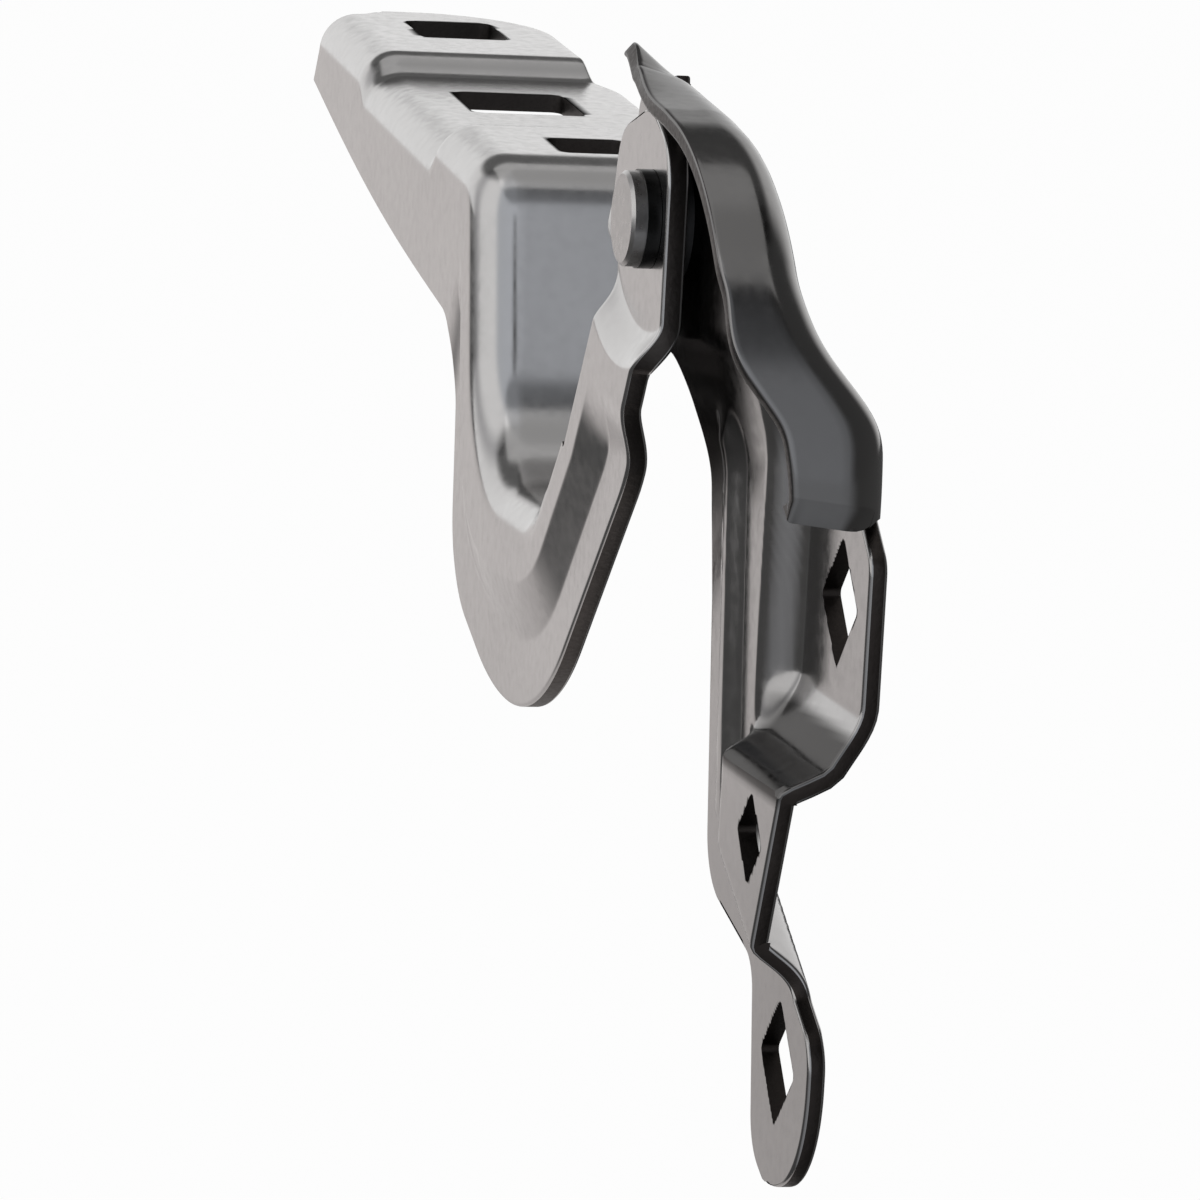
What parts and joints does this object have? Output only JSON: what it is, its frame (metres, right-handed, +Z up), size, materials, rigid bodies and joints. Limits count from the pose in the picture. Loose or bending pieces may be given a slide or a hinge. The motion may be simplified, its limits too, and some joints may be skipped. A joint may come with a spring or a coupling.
{
  "type": "bonnet hinge",
  "caption": "Gooseneck bonnet hinge: a pressed steel arm with slotted bonnet pads that swings on a rivet in a joggled, flanged body bracket with square bolt holes.",
  "frame": {"origin": "on the upper body pad's coined face, which meets the car body, 9 mm above the middle of its square hole", "axes": "+X along the pivot and out of the body-side face, +Y along the arm towards its bonnet end, +Z up"},
  "size_m": [0.0373, 0.265, 0.1214],
  "materials": {
    "arm_steel": "bright zinc plate",
    "bracket_steel": "dark satin coat",
    "rivet_steel": "plated",
    "washer_steel": "blackened",
    "bush_bronze": "plain",
    "thrust_nylon": "matte"
  },
  "bodies": {
    "bracket": {"body_bracket": "bracket_steel", "pivot_rivet": "rivet_steel", "head_washer": "washer_steel", "thrust_washer": "thrust_nylon", "tail_washer": "washer_steel"},
    "arm": {"bonnet_arm": "arm_steel", "pivot_bush": "bush_bronze"}
  },
  "joints": [
    {"name": "bonnet_swing", "type": "hinge", "parent": "bracket", "child": "arm", "pos_m": [-0.01367, 0.047, 0.0275], "axis": [1, 0, 0], "range_deg": [-40, 8]}
  ]
}
